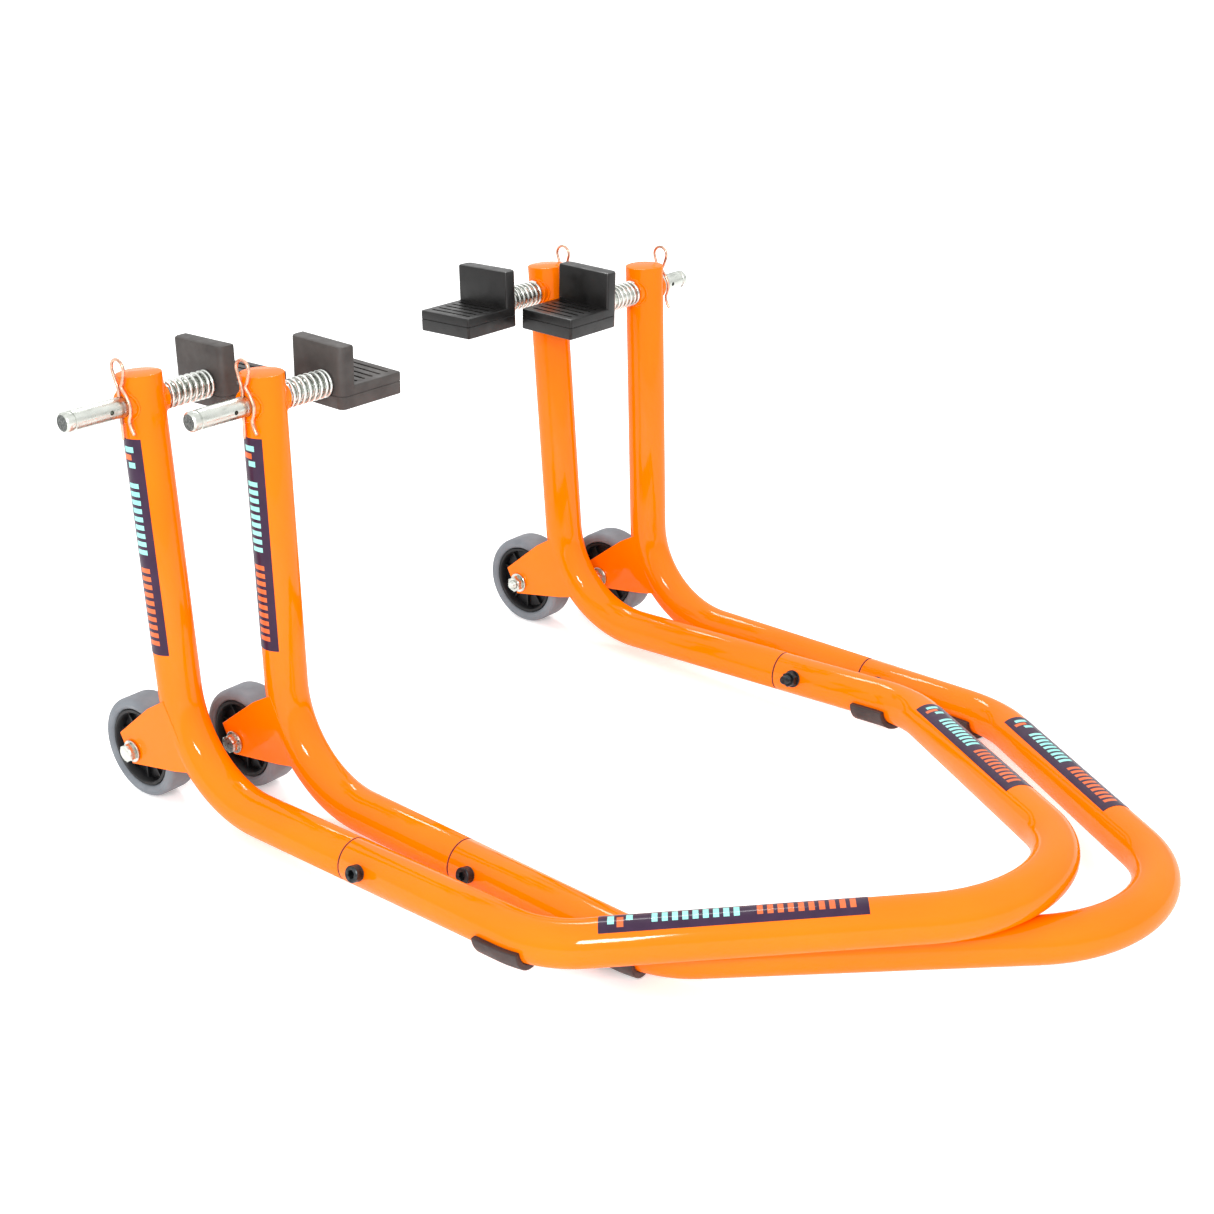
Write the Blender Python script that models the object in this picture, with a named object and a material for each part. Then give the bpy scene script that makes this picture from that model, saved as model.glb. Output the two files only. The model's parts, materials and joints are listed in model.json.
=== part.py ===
"""Two motorcycle paddock stands, one flat on the floor and one leaning on it.

Metres, +Z up.  +X runs from each stand's left leg to its right leg, and the noses point to -Y.
Each stand is built in its own coordinates (the floor at Z = 0, the rear bends near Y = 0)
and hangs under an empty that places it.
"""
import math

import bmesh
import bpy
from mathutils import Matrix, Vector

# ---- driving dimensions ----
TUBE_R = 0.0175             # frame tube, outside radius
TUBE_BORE_R = 0.0150
CLEARANCE = 0.0003          # gap kept between pieces that touch
TUBE_SIDES = 12
ROUND_SIDES = 12
WHEEL_SIDES = 20

# frame, in the right-hand half of a stand
UPRIGHT_TOP = Vector((0.2342, 0.0156, 0.3640))
REAR_CORNER = Vector((0.2370, -0.0011, 0.0200))
FRONT_CORNER = Vector((0.2435, -0.3890, 0.0230))
NOSE_CORNER = Vector((0.0, -0.7020, 0.0593))
REAR_BEND_R = 0.090
FRONT_BEND_R = 0.085
NOSE_BEND_R = 0.102
SPLIT_Y = {"left": -0.197, "right": -0.255}   # where each arm comes apart
SPIGOT_R = 0.0141
SPIGOT_BORE_R = 0.0115
SPIGOT_LENGTH = 0.045
CAP_THICKNESS = 0.0025

# wheels
AXLE = Vector((0.2370, 0.0484, 0.0430))
WHEEL_R = 0.0430
TYRE_WIDTH = 0.0290
HUB_R = 0.0335
HUB_WIDTH = 0.0250
TYRE_SHOULDER = 0.0040      # how much lower the tread's edges are
TYRE_SHOULDER_WIDTH = 0.0050
BEAD_CHAMFER = 0.0015
HUB_RIM = 0.0050            # radial height of the hub's rim
HUB_DISH = 0.0040           # depth of the hub's face behind the rim
HUB_BOSS_R = 0.0130
HUB_BOSS_END_R = 0.0120
SLEEVE_R = 0.0070
AXLE_R = 0.0040
CHEEK_THICKNESS = 0.0030
CHEEK_SINK = 0.0012         # how far a cheek is let into the tube's side

# rests
PIN_Y = 0.0146
PIN_Z = 0.3414
PIN_R = 0.0080
PIN_END_X = {"left": 0.3070, "right": 0.2910}   # the two rests are set differently
BUSH_R = 0.0120
BUSH_LENGTH = 0.0370
BUSH_X = 0.2344
REST_OUTER_X = 0.1711
REST_WALL = 0.0148
REST_PLATE_LENGTH = 0.0506
REST_PLATE_THICKNESS = 0.0187
REST_BOTTOM_Z = 0.3217
REST_TOP_Z = 0.3732
REST_CENTRE_Y = 0.0251
REST_HALF_WIDTH = 0.0296
CORE_THICKNESS = 0.0040
CORE_MARGIN = 0.0060
SPRING_COIL_R = 0.0103
SPRING_WIRE_R = 0.0012
SPRING_TURNS = 6.5
CLIP_WIRE_R = 0.0013
CLIP_X = 0.2548
SPARE_HOLE_X = 0.2680
PIN_GROOVE_FROM_END = 0.0060
PIN_GROOVE_DEPTH = 0.0010
PIN_CHAMFER = 0.0015

# fasteners
WASHER_HEIGHT = 0.0015
NUT_HEIGHT_TO_SHANK_R = 1.6
THREAD_TIP = 0.0040         # thread that shows beyond a nut

# coupling and feet
SCREW_R = 0.0040
SCREW_HEAD_R = 0.0066
SCREW_HEAD_HEIGHT = 0.0075
SCREW_FROM_SPLIT = 0.0220
SCREW_TIP = 0.0080              # screw thread beyond the nut
SCREW_TILT = math.radians(14)   # the left-hand end (-X) of each coupling screw sits higher
FOOT_R = 0.0225
FOOT_START_Y = -0.3400
FOOT_END_Y = -0.3800
FOOT_HALF_ANGLE = math.radians(86)

# where the two stands are
SIDE_STEP = 0.0660          # stand 1 is this far to the right of stand 2
FORWARD_STEP = 0.0500       # and this far towards the noses
LEAN_ANGLE = math.radians(2.495)   # stand 2 lies on stand 1 with its nose
NOSE_TIP_Y = -0.65445       # outermost point of a level stand's nose
WHEEL_BACK_Y = AXLE.y + WHEEL_R

COLOURS = {
    "frame_orange": ((0.95, 0.24, 0.01), 0.25, 0.0),
    "tyre_grey": ((0.16, 0.18, 0.20), 0.7, 0.0),
    "hub_black": ((0.01, 0.01, 0.01), 0.45, 0.0),
    "rest_rubber": ((0.035, 0.03, 0.028), 0.8, 0.0),
    "zinc": ((0.60, 0.62, 0.58), 0.35, 1.0),
    "spring_zinc": ((0.55, 0.58, 0.55), 0.3, 1.0),
    "clip_wire": ((0.60, 0.50, 0.42), 0.3, 1.0),
    "foot_rubber": ((0.04, 0.022, 0.02), 0.75, 0.0),
    "screw_black": ((0.02, 0.025, 0.03), 0.35, 1.0),
}
materials = {}


def clear_scene():
    for thing in list(bpy.data.objects):
        bpy.data.objects.remove(thing, do_unlink=True)


def make_materials():
    for name, (colour, roughness, metallic) in COLOURS.items():
        material = bpy.data.materials.new(name)
        material.use_nodes = True
        shader = material.node_tree.nodes["Principled BSDF"]
        shader.inputs["Base Color"].default_value = (*colour, 1.0)
        shader.inputs["Roughness"].default_value = roughness
        shader.inputs["Metallic"].default_value = metallic
        materials[name] = material


# ---- general shapes ----
def ring_solid(rings, closed=False):
    """One closed surface through a row of equal rings; closed joins the last ring to the first."""
    mesh = bmesh.new()
    made = [[mesh.verts.new(point) for point in ring] for ring in rings]
    count = len(made[0])
    pairs = list(zip(made, made[1:]))
    if closed:
        pairs.append((made[-1], made[0]))
    for low, high in pairs:
        for i in range(count):
            j = (i + 1) % count
            mesh.faces.new((low[i], low[j], high[j], high[i]))
    if not closed:
        mesh.faces.new(list(reversed(made[0])))
        mesh.faces.new(made[-1])
    bmesh.ops.recalc_face_normals(mesh, faces=mesh.faces)
    return mesh


def prism(outline, axis, low, high):
    """A flat outline pushed along X or Y, from low to high."""
    def place(point, depth):
        if axis == "X":
            return (depth, point[0], point[1])
        return (point[0], depth, point[1])
    return ring_solid([[place(p, low) for p in outline], [place(p, high) for p in outline]])


def circle_x(x, radius, sides):
    """A ring round the X axis."""
    return [(x, radius * math.cos(2 * math.pi * i / sides),
             radius * math.sin(2 * math.pi * i / sides)) for i in range(sides)]


def turned_x(profile, sides, closed=False):
    """A solid of revolution round X, from (x, radius) pairs."""
    return ring_solid([circle_x(x, radius, sides) for x, radius in profile], closed)


def rod_between(start, end, radius, sides):
    """A plain round bar between two points."""
    axis = (end - start).normalized()
    turn = axis.to_track_quat("X", "Z").to_matrix()
    rings = []
    for point in (start, end):
        rings.append([point + turn @ Vector(p) for p in circle_x(0.0, radius, sides)])
    return ring_solid(rings)


def filleted_path(corners, radii, step):
    """Points along straight runs with round bends, and the direction at each."""
    points = [corners[0]]
    directions = [(corners[1] - corners[0]).normalized()]
    for corner, before, after, radius in zip(corners[1:-1], corners, corners[2:], radii):
        along_in = (corner - before).normalized()
        along_out = (after - corner).normalized()
        turn = along_in.angle(along_out)
        reach = radius * math.tan(turn / 2)
        centre_way = (along_out - along_in).normalized()
        centre = corner + centre_way * radius / math.cos(turn / 2)
        start_arm = corner - along_in * reach - centre
        axis = along_in.cross(along_out).normalized()
        steps = max(2, math.ceil(turn / step))
        for i in range(steps + 1):
            spin = Matrix.Rotation(turn * i / steps, 3, axis)
            points.append(centre + spin @ start_arm)
            directions.append(spin @ along_in)
    points.append(corners[-1])
    directions.append((corners[-1] - corners[-2]).normalized())
    return points, directions


def path_rings(points, directions, radius, sides):
    """Rings across a path, carried along it without twisting."""
    guide = Vector((1.0, 0.0, 0.0))
    if abs(directions[0].x) > 0.9:
        guide = Vector((0.0, 0.0, 1.0))
    rings = []
    for point, direction in zip(points, directions):
        across = (guide - direction * guide.dot(direction)).normalized()
        over = direction.cross(across)
        ring = []
        for i in range(sides):
            angle = 2 * math.pi * i / sides
            ring.append(point + (across * math.cos(angle) + over * math.sin(angle)) * radius)
        rings.append(ring)
        guide = across
    return rings


def curve_points(knots, steps):
    """A smooth curve through the knots."""
    points = []
    for i in range(len(knots) - 1):
        p0 = knots[max(i - 1, 0)]
        p1, p2 = knots[i], knots[i + 1]
        p3 = knots[min(i + 2, len(knots) - 1)]
        for k in range(steps):
            t = k / steps
            points.append(0.5 * (2 * p1 + (p2 - p0) * t + (2 * p0 - 5 * p1 + 4 * p2 - p3) * t * t
                                 + (3 * p1 - p0 - 3 * p2 + p3) * t ** 3))
    points.append(knots[-1])
    return points


def wire_solid(points, radius, sides):
    """A bent wire along a row of points."""
    directions = []
    for i in range(len(points)):
        ahead = points[min(i + 1, len(points) - 1)]
        behind = points[max(i - 1, 0)]
        directions.append((ahead - behind).normalized())
    return ring_solid(path_rings(points, directions, radius, sides))


def add_object(name, mesh, parent, material, origin=Vector((0.0, 0.0, 0.0)), round_shape=True):
    """Turns a bmesh in stand coordinates into a named object with its origin at a chosen point."""
    bmesh.ops.translate(mesh, verts=mesh.verts, vec=-origin)
    data = bpy.data.meshes.new(name)
    mesh.to_mesh(data)
    mesh.free()
    if round_shape:
        data.shade_smooth()
        data.set_sharp_from_angle(angle=math.radians(35))
    thing = bpy.data.objects.new(name, data)
    bpy.context.collection.objects.link(thing)
    thing.parent = parent
    thing.location = origin
    if material:
        data.materials.append(materials[material])
    return thing


def add_helper(name, mesh, parent, target, operation):
    """A cutter or a joined-on shape that the build leaves out, and the Boolean that uses it."""
    helper = add_object(name, mesh, parent, None, round_shape=False)
    helper.hide_render = True
    helper.display_type = "WIRE"
    boolean = target.modifiers.new(operation.lower(), "BOOLEAN")
    boolean.operation = operation
    boolean.object = helper
    boolean.solver = "EXACT"
    return helper


def to_side(point, sign):
    return Vector((point[0] * sign, point[1], point[2]))


# ---- frame ----
def arm_point(y):
    """The point of the right arm's centre line at a given Y."""
    share = (y - REAR_CORNER.y) / (FRONT_CORNER.y - REAR_CORNER.y)
    return REAR_CORNER.lerp(FRONT_CORNER, share)


def make_leg(stand, parent, side, sign):
    """Upright, rear bend, arm and spigot as one hollow tube, with its wheel cheeks welded on."""
    split = arm_point(SPLIT_Y[side])
    arm_way = (FRONT_CORNER - REAR_CORNER).normalized()
    corners = [to_side(p, sign) for p in (UPRIGHT_TOP, REAR_CORNER, split)]
    points, ways = filleted_path(corners, [REAR_BEND_R], math.radians(15))
    arm_way = to_side(arm_way, sign)
    spigot_end = points[-1] + arm_way * SPIGOT_LENGTH
    outer_points = points + [points[-1], spigot_end]
    outer_ways = ways + [arm_way, arm_way]
    radii = [TUBE_R] * len(points) + [SPIGOT_R] * 2
    rings = [path_rings(outer_points, outer_ways, r, TUBE_SIDES)[i] for i, r in enumerate(radii)]
    inner_points = [points[0] + ways[0] * CAP_THICKNESS] + points[1:] + [points[-1], spigot_end]
    inner_radii = [TUBE_BORE_R] * len(points) + [SPIGOT_BORE_R] * 2
    inner = [path_rings(inner_points, outer_ways, r, TUBE_SIDES)[i] for i, r in enumerate(inner_radii)]
    leg = add_object(f"{stand}_{side}_leg", ring_solid(rings + inner[::-1]), parent, "frame_orange",
                     to_side(UPRIGHT_TOP, sign))
    for index, face_x in enumerate((TUBE_R - CHEEK_SINK, -TUBE_R + CHEEK_SINK - CHEEK_THICKNESS)):
        add_helper(f"added_{stand}_{side}_cheek_{index}", cheek_mesh(sign, face_x), parent, leg, "UNION")
    bush_ends = [to_side((BUSH_X + s * TUBE_R * 2, PIN_Y, PIN_Z), sign) for s in (-1, 1)]
    hole = rod_between(bush_ends[0], bush_ends[1], BUSH_R + 2 * CLEARANCE, ROUND_SIDES)
    add_helper(f"cutter_{stand}_{side}_bush_hole", hole, parent, leg, "DIFFERENCE")
    cut_screw_hole(stand, parent, side, sign, leg, "leg")
    cut_axle_hole(stand, parent, side, sign, leg)


def cheek_mesh(sign, face_x):
    """A tapered plate that runs from the tube's side back and down to the axle."""
    outline = [(-0.0240, 0.0440), (-0.0020, 0.0385), (0.0509, 0.0305), (0.0636, 0.0551),
               (0.0230, 0.0880), (0.0030, 0.1000)]
    low = (AXLE.x + face_x) * sign
    high = (AXLE.x + face_x + CHEEK_THICKNESS) * sign
    return prism(outline, "X", min(low, high), max(low, high))


def cut_axle_hole(stand, parent, side, sign, leg):
    reach = Vector((TUBE_R * 2, 0.0, 0.0))
    centre = to_side(AXLE, sign)
    hole = rod_between(centre - reach, centre + reach, AXLE_R + 2 * CLEARANCE, ROUND_SIDES)
    add_helper(f"cutter_{stand}_{side}_axle_hole", hole, parent, leg, "DIFFERENCE")


def screw_point(side, sign):
    return to_side(arm_point(SPLIT_Y[side] - SCREW_FROM_SPLIT), sign)


def cut_screw_hole(stand, parent, side, sign, target, label):
    centre = screw_point(side, sign)
    reach = Matrix.Rotation(SCREW_TILT, 3, "Y") @ Vector((TUBE_R * 2, 0.0, 0.0))
    hole = rod_between(centre - reach, centre + reach, SCREW_R + 2 * CLEARANCE, TUBE_SIDES)
    add_helper(f"cutter_{stand}_{side}_{label}_screw_hole", hole, parent, target, "DIFFERENCE")


def make_front_loop(stand, parent):
    """Two arms, two diagonals and the nose, as one bent tube open at both ends."""
    gap = Vector((0.0, CLEARANCE, 0.0))
    corners = [arm_point(SPLIT_Y["right"]) - gap, FRONT_CORNER, NOSE_CORNER,
               to_side(FRONT_CORNER, -1), to_side(arm_point(SPLIT_Y["left"]), -1) - gap]
    points, ways = filleted_path(corners, [FRONT_BEND_R, NOSE_BEND_R, FRONT_BEND_R], math.radians(13))
    outer = path_rings(points, ways, TUBE_R, TUBE_SIDES)
    inner = path_rings(points, ways, TUBE_BORE_R, TUBE_SIDES)
    loop = add_object(f"{stand}_front_loop", ring_solid(outer + inner[::-1], closed=True), parent,
                      "frame_orange")
    for side, sign in (("left", -1), ("right", 1)):
        cut_screw_hole(stand, parent, side, sign, loop, "loop")


def make_bush(stand, parent, side, sign):
    half = BUSH_LENGTH / 2
    bore = PIN_R + CLEARANCE * 1.2
    mesh = turned_x([(-half, BUSH_R), (half, BUSH_R), (half, bore), (-half, bore)], ROUND_SIDES, closed=True)
    centre = to_side((BUSH_X, PIN_Y, PIN_Z), sign)
    bmesh.ops.translate(mesh, verts=mesh.verts, vec=centre)
    add_object(f"{stand}_{side}_cross_bush", mesh, parent, "frame_orange", centre)


# ---- wheels ----
def make_wheel(stand, parent, side, sign):
    centre = to_side(AXLE, sign)
    half = TYRE_WIDTH / 2
    groove = HUB_R + CLEARANCE
    tread = half - TYRE_SHOULDER_WIDTH
    seat = half - BEAD_CHAMFER
    tyre = turned_x([(-half, WHEEL_R - TYRE_SHOULDER), (-tread, WHEEL_R), (tread, WHEEL_R),
                     (half, WHEEL_R - TYRE_SHOULDER), (half, groove + BEAD_CHAMFER), (seat, groove),
                     (-seat, groove), (-half, groove + BEAD_CHAMFER)], WHEEL_SIDES, closed=True)
    bore = SLEEVE_R + CLEARANCE
    hub_half = HUB_WIDTH / 2
    web = hub_half - HUB_DISH
    rim = HUB_R - HUB_RIM
    hub = turned_x([(-hub_half, HUB_R), (hub_half, HUB_R), (web, rim), (web, HUB_BOSS_R),
                    (half, HUB_BOSS_END_R), (half, bore), (-half, bore), (-half, HUB_BOSS_END_R),
                    (-web, HUB_BOSS_R), (-web, rim)], WHEEL_SIDES, closed=True)
    sleeve_half = TUBE_R - CHEEK_SINK - CLEARANCE
    sleeve_bore = AXLE_R + CLEARANCE
    sleeve = turned_x([(-sleeve_half, SLEEVE_R), (sleeve_half, SLEEVE_R), (sleeve_half, sleeve_bore),
                       (-sleeve_half, sleeve_bore)], ROUND_SIDES, closed=True)
    for name, mesh, material in (("tyre", tyre, "tyre_grey"), ("wheel_hub", hub, "hub_black"),
                                 ("axle_sleeve", sleeve, "zinc")):
        bmesh.ops.translate(mesh, verts=mesh.verts, vec=centre)
        add_object(f"{stand}_{side}_{name}", mesh, parent, material, centre)


def hexagon_x(x, across_flats):
    radius = across_flats / math.sqrt(3)
    return [(x, radius * math.cos(math.pi / 3 * (i + 0.5)), radius * math.sin(math.pi / 3 * (i + 0.5)))
            for i in range(6)]


def make_fastener(stand, parent, side, sign, centre, sizes, names, material, tilt):
    """A bolt pushed in from the outer side and a nut on the inner side, each with its washer.

    tilt is None for a level bolt with a hexagon head, or a socket screw's turn about Y."""
    hex_head = tilt is None
    turn = Matrix.Rotation(tilt or 0.0, 3, "Y")

    def put(mesh):
        bmesh.ops.rotate(mesh, verts=mesh.verts, cent=(0.0, 0.0, 0.0), matrix=turn)
        bmesh.ops.translate(mesh, verts=mesh.verts, vec=centre)
        return mesh

    shank_r, head_size, head_height, washer_r, nut_size, face, tip = sizes
    nut_height = shank_r * NUT_HEIGHT_TO_SHANK_R
    seat = face + CLEARANCE
    end = -(face + CLEARANCE + WASHER_HEIGHT + nut_height + tip)
    profile = [(end, shank_r), (seat, shank_r), (seat, washer_r), (seat + WASHER_HEIGHT, washer_r)]
    if hex_head:
        profile.append((seat + WASHER_HEIGHT, shank_r))
        profile.append((seat + WASHER_HEIGHT + 0.001, shank_r))
    else:
        profile[2:] = [(seat, head_size), (seat + head_height, head_size)]
    bolt = put(turned_x([(x * sign, r) for x, r in profile], ROUND_SIDES))
    thing = add_object(f"{stand}_{side}_{names[0]}", bolt, parent, material, centre)
    if hex_head:
        low = (seat + WASHER_HEIGHT * 0.6) * sign
        high = (seat + WASHER_HEIGHT + head_height) * sign
        head = put(ring_solid([hexagon_x(low, head_size), hexagon_x(high, head_size)]))
        add_helper(f"added_{stand}_{side}_{names[0]}_head", head, parent, thing, "UNION")
    else:
        socket = put(ring_solid([hexagon_x((seat + head_height * 0.35) * sign, head_size * 0.95),
                                 hexagon_x((seat + head_height * 1.5) * sign, head_size * 0.95)]))
        add_helper(f"cutter_{stand}_{side}_{names[0]}_socket", socket, parent, thing, "DIFFERENCE")
    bore = shank_r + CLEARANCE
    near = -(face + CLEARANCE)
    washer = put(turned_x([(near * sign, washer_r), ((near - WASHER_HEIGHT) * sign, washer_r)], ROUND_SIDES))
    nut = add_object(f"{stand}_{side}_{names[1]}", washer, parent, material, centre)
    low = (near - WASHER_HEIGHT * 0.6) * sign
    high = (near - WASHER_HEIGHT - nut_height) * sign
    body = put(ring_solid([hexagon_x(low, nut_size), hexagon_x(high, nut_size)]))
    add_helper(f"added_{stand}_{side}_{names[1]}_body", body, parent, nut, "UNION")
    reach = turn @ Vector((TUBE_R * 4, 0.0, 0.0))
    hole = rod_between(centre - reach, centre + reach, bore + CLEARANCE, ROUND_SIDES)
    add_helper(f"cutter_{stand}_{side}_{names[1]}_bore", hole, parent, nut, "DIFFERENCE")


def make_axle_bolt(stand, parent, side, sign):
    face = TUBE_R - CHEEK_SINK + CHEEK_THICKNESS
    sizes = (AXLE_R, 0.0140, 0.0060, 0.0095, 0.0140, face, THREAD_TIP)
    make_fastener(stand, parent, side, sign, to_side(AXLE, sign), sizes,
                  ("axle_bolt", "axle_nut"), "zinc", None)


def make_coupling_screw(stand, parent, side, sign):
    sizes = (SCREW_R, SCREW_HEAD_R, SCREW_HEAD_HEIGHT, 0.0078, 0.0125, TUBE_R, SCREW_TIP)
    make_fastener(stand, parent, side, sign, screw_point(side, sign), sizes,
                  ("coupling_screw", "coupling_nut"), "screw_black", SCREW_TILT)


# ---- rests ----
def rest_outline():
    """The rubber L, seen along Y, in the right-hand half."""
    inner_x = REST_OUTER_X - REST_WALL
    plate_top = REST_BOTTOM_Z + REST_PLATE_THICKNESS
    tip = inner_x - REST_PLATE_LENGTH
    bevel = 0.0015
    return [(REST_OUTER_X, REST_BOTTOM_Z + bevel), (REST_OUTER_X, REST_TOP_Z - bevel),
            (REST_OUTER_X - bevel, REST_TOP_Z), (inner_x + bevel, REST_TOP_Z),
            (inner_x, REST_TOP_Z - bevel), (inner_x, plate_top), (tip + bevel, plate_top),
            (tip, plate_top - bevel), (tip, REST_BOTTOM_Z + bevel), (tip + bevel, REST_BOTTOM_Z),
            (REST_OUTER_X - bevel, REST_BOTTOM_Z)]


def core_outline(grow):
    """The steel L inside the rubber, grown by a gap where it cuts its own cavity."""
    wall_mid = REST_OUTER_X - REST_WALL / 2
    half = CORE_THICKNESS / 2 + grow
    plate_mid = REST_BOTTOM_Z + REST_PLATE_THICKNESS / 2
    tip = REST_OUTER_X - REST_WALL - REST_PLATE_LENGTH + CORE_MARGIN - grow
    top = REST_TOP_Z - CORE_MARGIN + grow
    return [(wall_mid + half, plate_mid - half), (wall_mid + half, top), (wall_mid - half, top),
            (wall_mid - half, plate_mid + half), (tip, plate_mid + half), (tip, plate_mid - half)]


def side_outline(outline, sign):
    return [(x * sign, z) for x, z in outline]


def make_rest(stand, parent, side, sign):
    pin_origin = to_side((REST_OUTER_X, PIN_Y, PIN_Z), sign)
    low_y, high_y = REST_CENTRE_Y - REST_HALF_WIDTH, REST_CENTRE_Y + REST_HALF_WIDTH
    block = prism(side_outline(rest_outline(), sign), "Y", low_y, high_y)
    pad = add_object(f"{stand}_{side}_rest_pad", block, parent, "rest_rubber", pin_origin,
                     round_shape=False)
    cavity = prism(side_outline(core_outline(CLEARANCE), sign), "Y",
                   low_y + CORE_MARGIN - CLEARANCE, high_y - CORE_MARGIN + CLEARANCE)
    add_helper(f"cutter_{stand}_{side}_core_cavity", cavity, parent, pad, "DIFFERENCE")
    mouth = [to_side((x, PIN_Y, PIN_Z), sign) for x in (REST_OUTER_X - REST_WALL / 2, REST_OUTER_X + 0.01)]
    hole = rod_between(mouth[0], mouth[1], PIN_R + 2 * CLEARANCE, ROUND_SIDES)
    add_helper(f"cutter_{stand}_{side}_pin_mouth", hole, parent, pad, "DIFFERENCE")
    make_pin(stand, parent, side, sign, pin_origin, low_y + CORE_MARGIN, high_y - CORE_MARGIN)


def make_pin(stand, parent, side, sign, origin, core_low_y, core_high_y):
    """The round bar with its chamfer, groove and holes, welded to the steel L."""
    start = REST_OUTER_X - REST_WALL / 2
    end = PIN_END_X[side]
    groove_x = end - PIN_GROOVE_FROM_END
    groove_r = PIN_R - PIN_GROOVE_DEPTH
    profile = [(start, PIN_R), (groove_x - 0.002, PIN_R), (groove_x - 0.0015, groove_r),
               (groove_x, groove_r), (groove_x + 0.0005, PIN_R), (end - PIN_CHAMFER, PIN_R),
               (end, PIN_R - PIN_CHAMFER)]
    bar = turned_x([(x * sign, r) for x, r in profile], ROUND_SIDES)
    bmesh.ops.translate(bar, verts=bar.verts, vec=Vector((0.0, PIN_Y, PIN_Z)))
    pin = add_object(f"{stand}_{side}_rest_pin", bar, parent, "zinc", origin)
    core = prism(side_outline(core_outline(0.0), sign), "Y", core_low_y, core_high_y)
    add_helper(f"added_{stand}_{side}_core", core, parent, pin, "UNION")
    clip_centre = to_side((CLIP_X, PIN_Y, PIN_Z), sign)
    up = Vector((0.0, 0.0, PIN_R * 2))
    hole = rod_between(clip_centre - up, clip_centre + up, CLIP_WIRE_R + 2 * CLEARANCE, 8)
    add_helper(f"cutter_{stand}_{side}_clip_hole", hole, parent, pin, "DIFFERENCE")
    spare_centre = to_side((SPARE_HOLE_X, PIN_Y, PIN_Z), sign)
    across = Vector((0.0, PIN_R * 2, 0.0))
    spare = rod_between(spare_centre - across, spare_centre + across, CLIP_WIRE_R + 2 * CLEARANCE, 8)
    add_helper(f"cutter_{stand}_{side}_spare_hole", spare, parent, pin, "DIFFERENCE")


def make_spring(stand, parent, side, sign):
    start = REST_OUTER_X + CLEARANCE + SPRING_WIRE_R
    end = BUSH_X - BUSH_LENGTH / 2 - CLEARANCE - SPRING_WIRE_R
    steps = int(SPRING_TURNS * 8)
    points = []
    for i in range(steps + 1):
        angle = 2 * math.pi * SPRING_TURNS * i / steps
        points.append(Vector(((start + (end - start) * i / steps) * sign,
                              PIN_Y + SPRING_COIL_R * math.cos(angle),
                              PIN_Z + SPRING_COIL_R * math.sin(angle))))
    add_object(f"{stand}_{side}_pin_spring", wire_solid(points, SPRING_WIRE_R, 4), parent, "spring_zinc",
               to_side((REST_OUTER_X, PIN_Y, PIN_Z), sign))


def clip_path():
    """The bent wire in the plane of its leg: offsets along Y and Z from the pin's axis."""
    loop_y, loop_z, loop_r = -0.0018, 0.0300, 0.0071
    leg = [(0.0, -0.0250), (0.0, 0.0), (0.0, 0.0140), (0.0022, 0.0200)]
    loop = [(loop_y + loop_r * math.cos(a), loop_z + loop_r * math.sin(a))
            for a in (math.radians(d) for d in (-20, 25, 70, 110, 155, 200))]
    wave = [(-0.0060, 0.0200), (-0.0042, 0.0160), (-0.0090, 0.0100), (-0.0124, 0.0030),
            (-0.0118, -0.0040), (-0.0099, -0.0095), (-0.0115, -0.0150), (-0.0140, -0.0190)]
    return leg + loop + wave


def make_clip(stand, parent, side, sign):
    origin = to_side((CLIP_X, PIN_Y, PIN_Z), sign)
    knots = [Vector((origin.x, PIN_Y + y, PIN_Z + z)) for y, z in clip_path()]
    add_object(f"{stand}_{side}_r_clip", wire_solid(curve_points(knots, 2), CLIP_WIRE_R, 4), parent,
               "clip_wire", origin)


# ---- feet ----
def make_foot(stand, parent, side, sign):
    """A rubber saddle round the underside of the arm, reaching a little into the front bend."""
    steps = 8
    half_step = FOOT_HALF_ANGLE / steps
    inner = (TUBE_R + CLEARANCE * 1.3) / math.cos(half_step)
    angles = [-FOOT_HALF_ANGLE + 2 * half_step * i for i in range(steps + 1)]
    section = [(FOOT_R * math.sin(a), -FOOT_R * math.cos(a)) for a in angles]
    section += [(inner * math.sin(a), -inner * math.cos(a)) for a in reversed(angles)]
    corners = [to_side(p, sign) for p in (arm_point(FOOT_START_Y), FRONT_CORNER, NOSE_CORNER)]
    points, ways = filleted_path(corners, [FRONT_BEND_R], math.radians(5))
    rings = []
    for point, way in zip(points, ways):
        if point.y < FOOT_END_Y:
            break
        over = Vector((0.0, 0.0, 1.0))
        across = way.cross(over).normalized()
        over = across.cross(way)
        rings.append([point + across * x + over * z for x, z in section])
    middle = to_side(arm_point((FOOT_START_Y + FOOT_END_Y) / 2), sign)
    add_object(f"{stand}_{side}_foot_pad", ring_solid(rings), parent, "foot_rubber", middle)


# ---- assembly ----
def make_stand(stand, place, lean):
    """One whole stand under an empty on its wheel axle."""
    pivot = Vector((0.0, AXLE.y, AXLE.z))
    frame = bpy.data.objects.new(f"{stand}_frame", None)
    bpy.context.collection.objects.link(frame)
    turn = Matrix.Rotation(-lean, 4, "X")
    frame.matrix_world = Matrix.Translation(place + pivot) @ turn @ Matrix.Translation(-pivot)
    make_front_loop(stand, frame)
    for side, sign in (("left", -1), ("right", 1)):
        make_leg(stand, frame, side, sign)
        make_bush(stand, frame, side, sign)
        make_wheel(stand, frame, side, sign)
        make_axle_bolt(stand, frame, side, sign)
        make_coupling_screw(stand, frame, side, sign)
        make_rest(stand, frame, side, sign)
        make_spring(stand, frame, side, sign)
        make_clip(stand, frame, side, sign)
        make_foot(stand, frame, side, sign)


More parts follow.
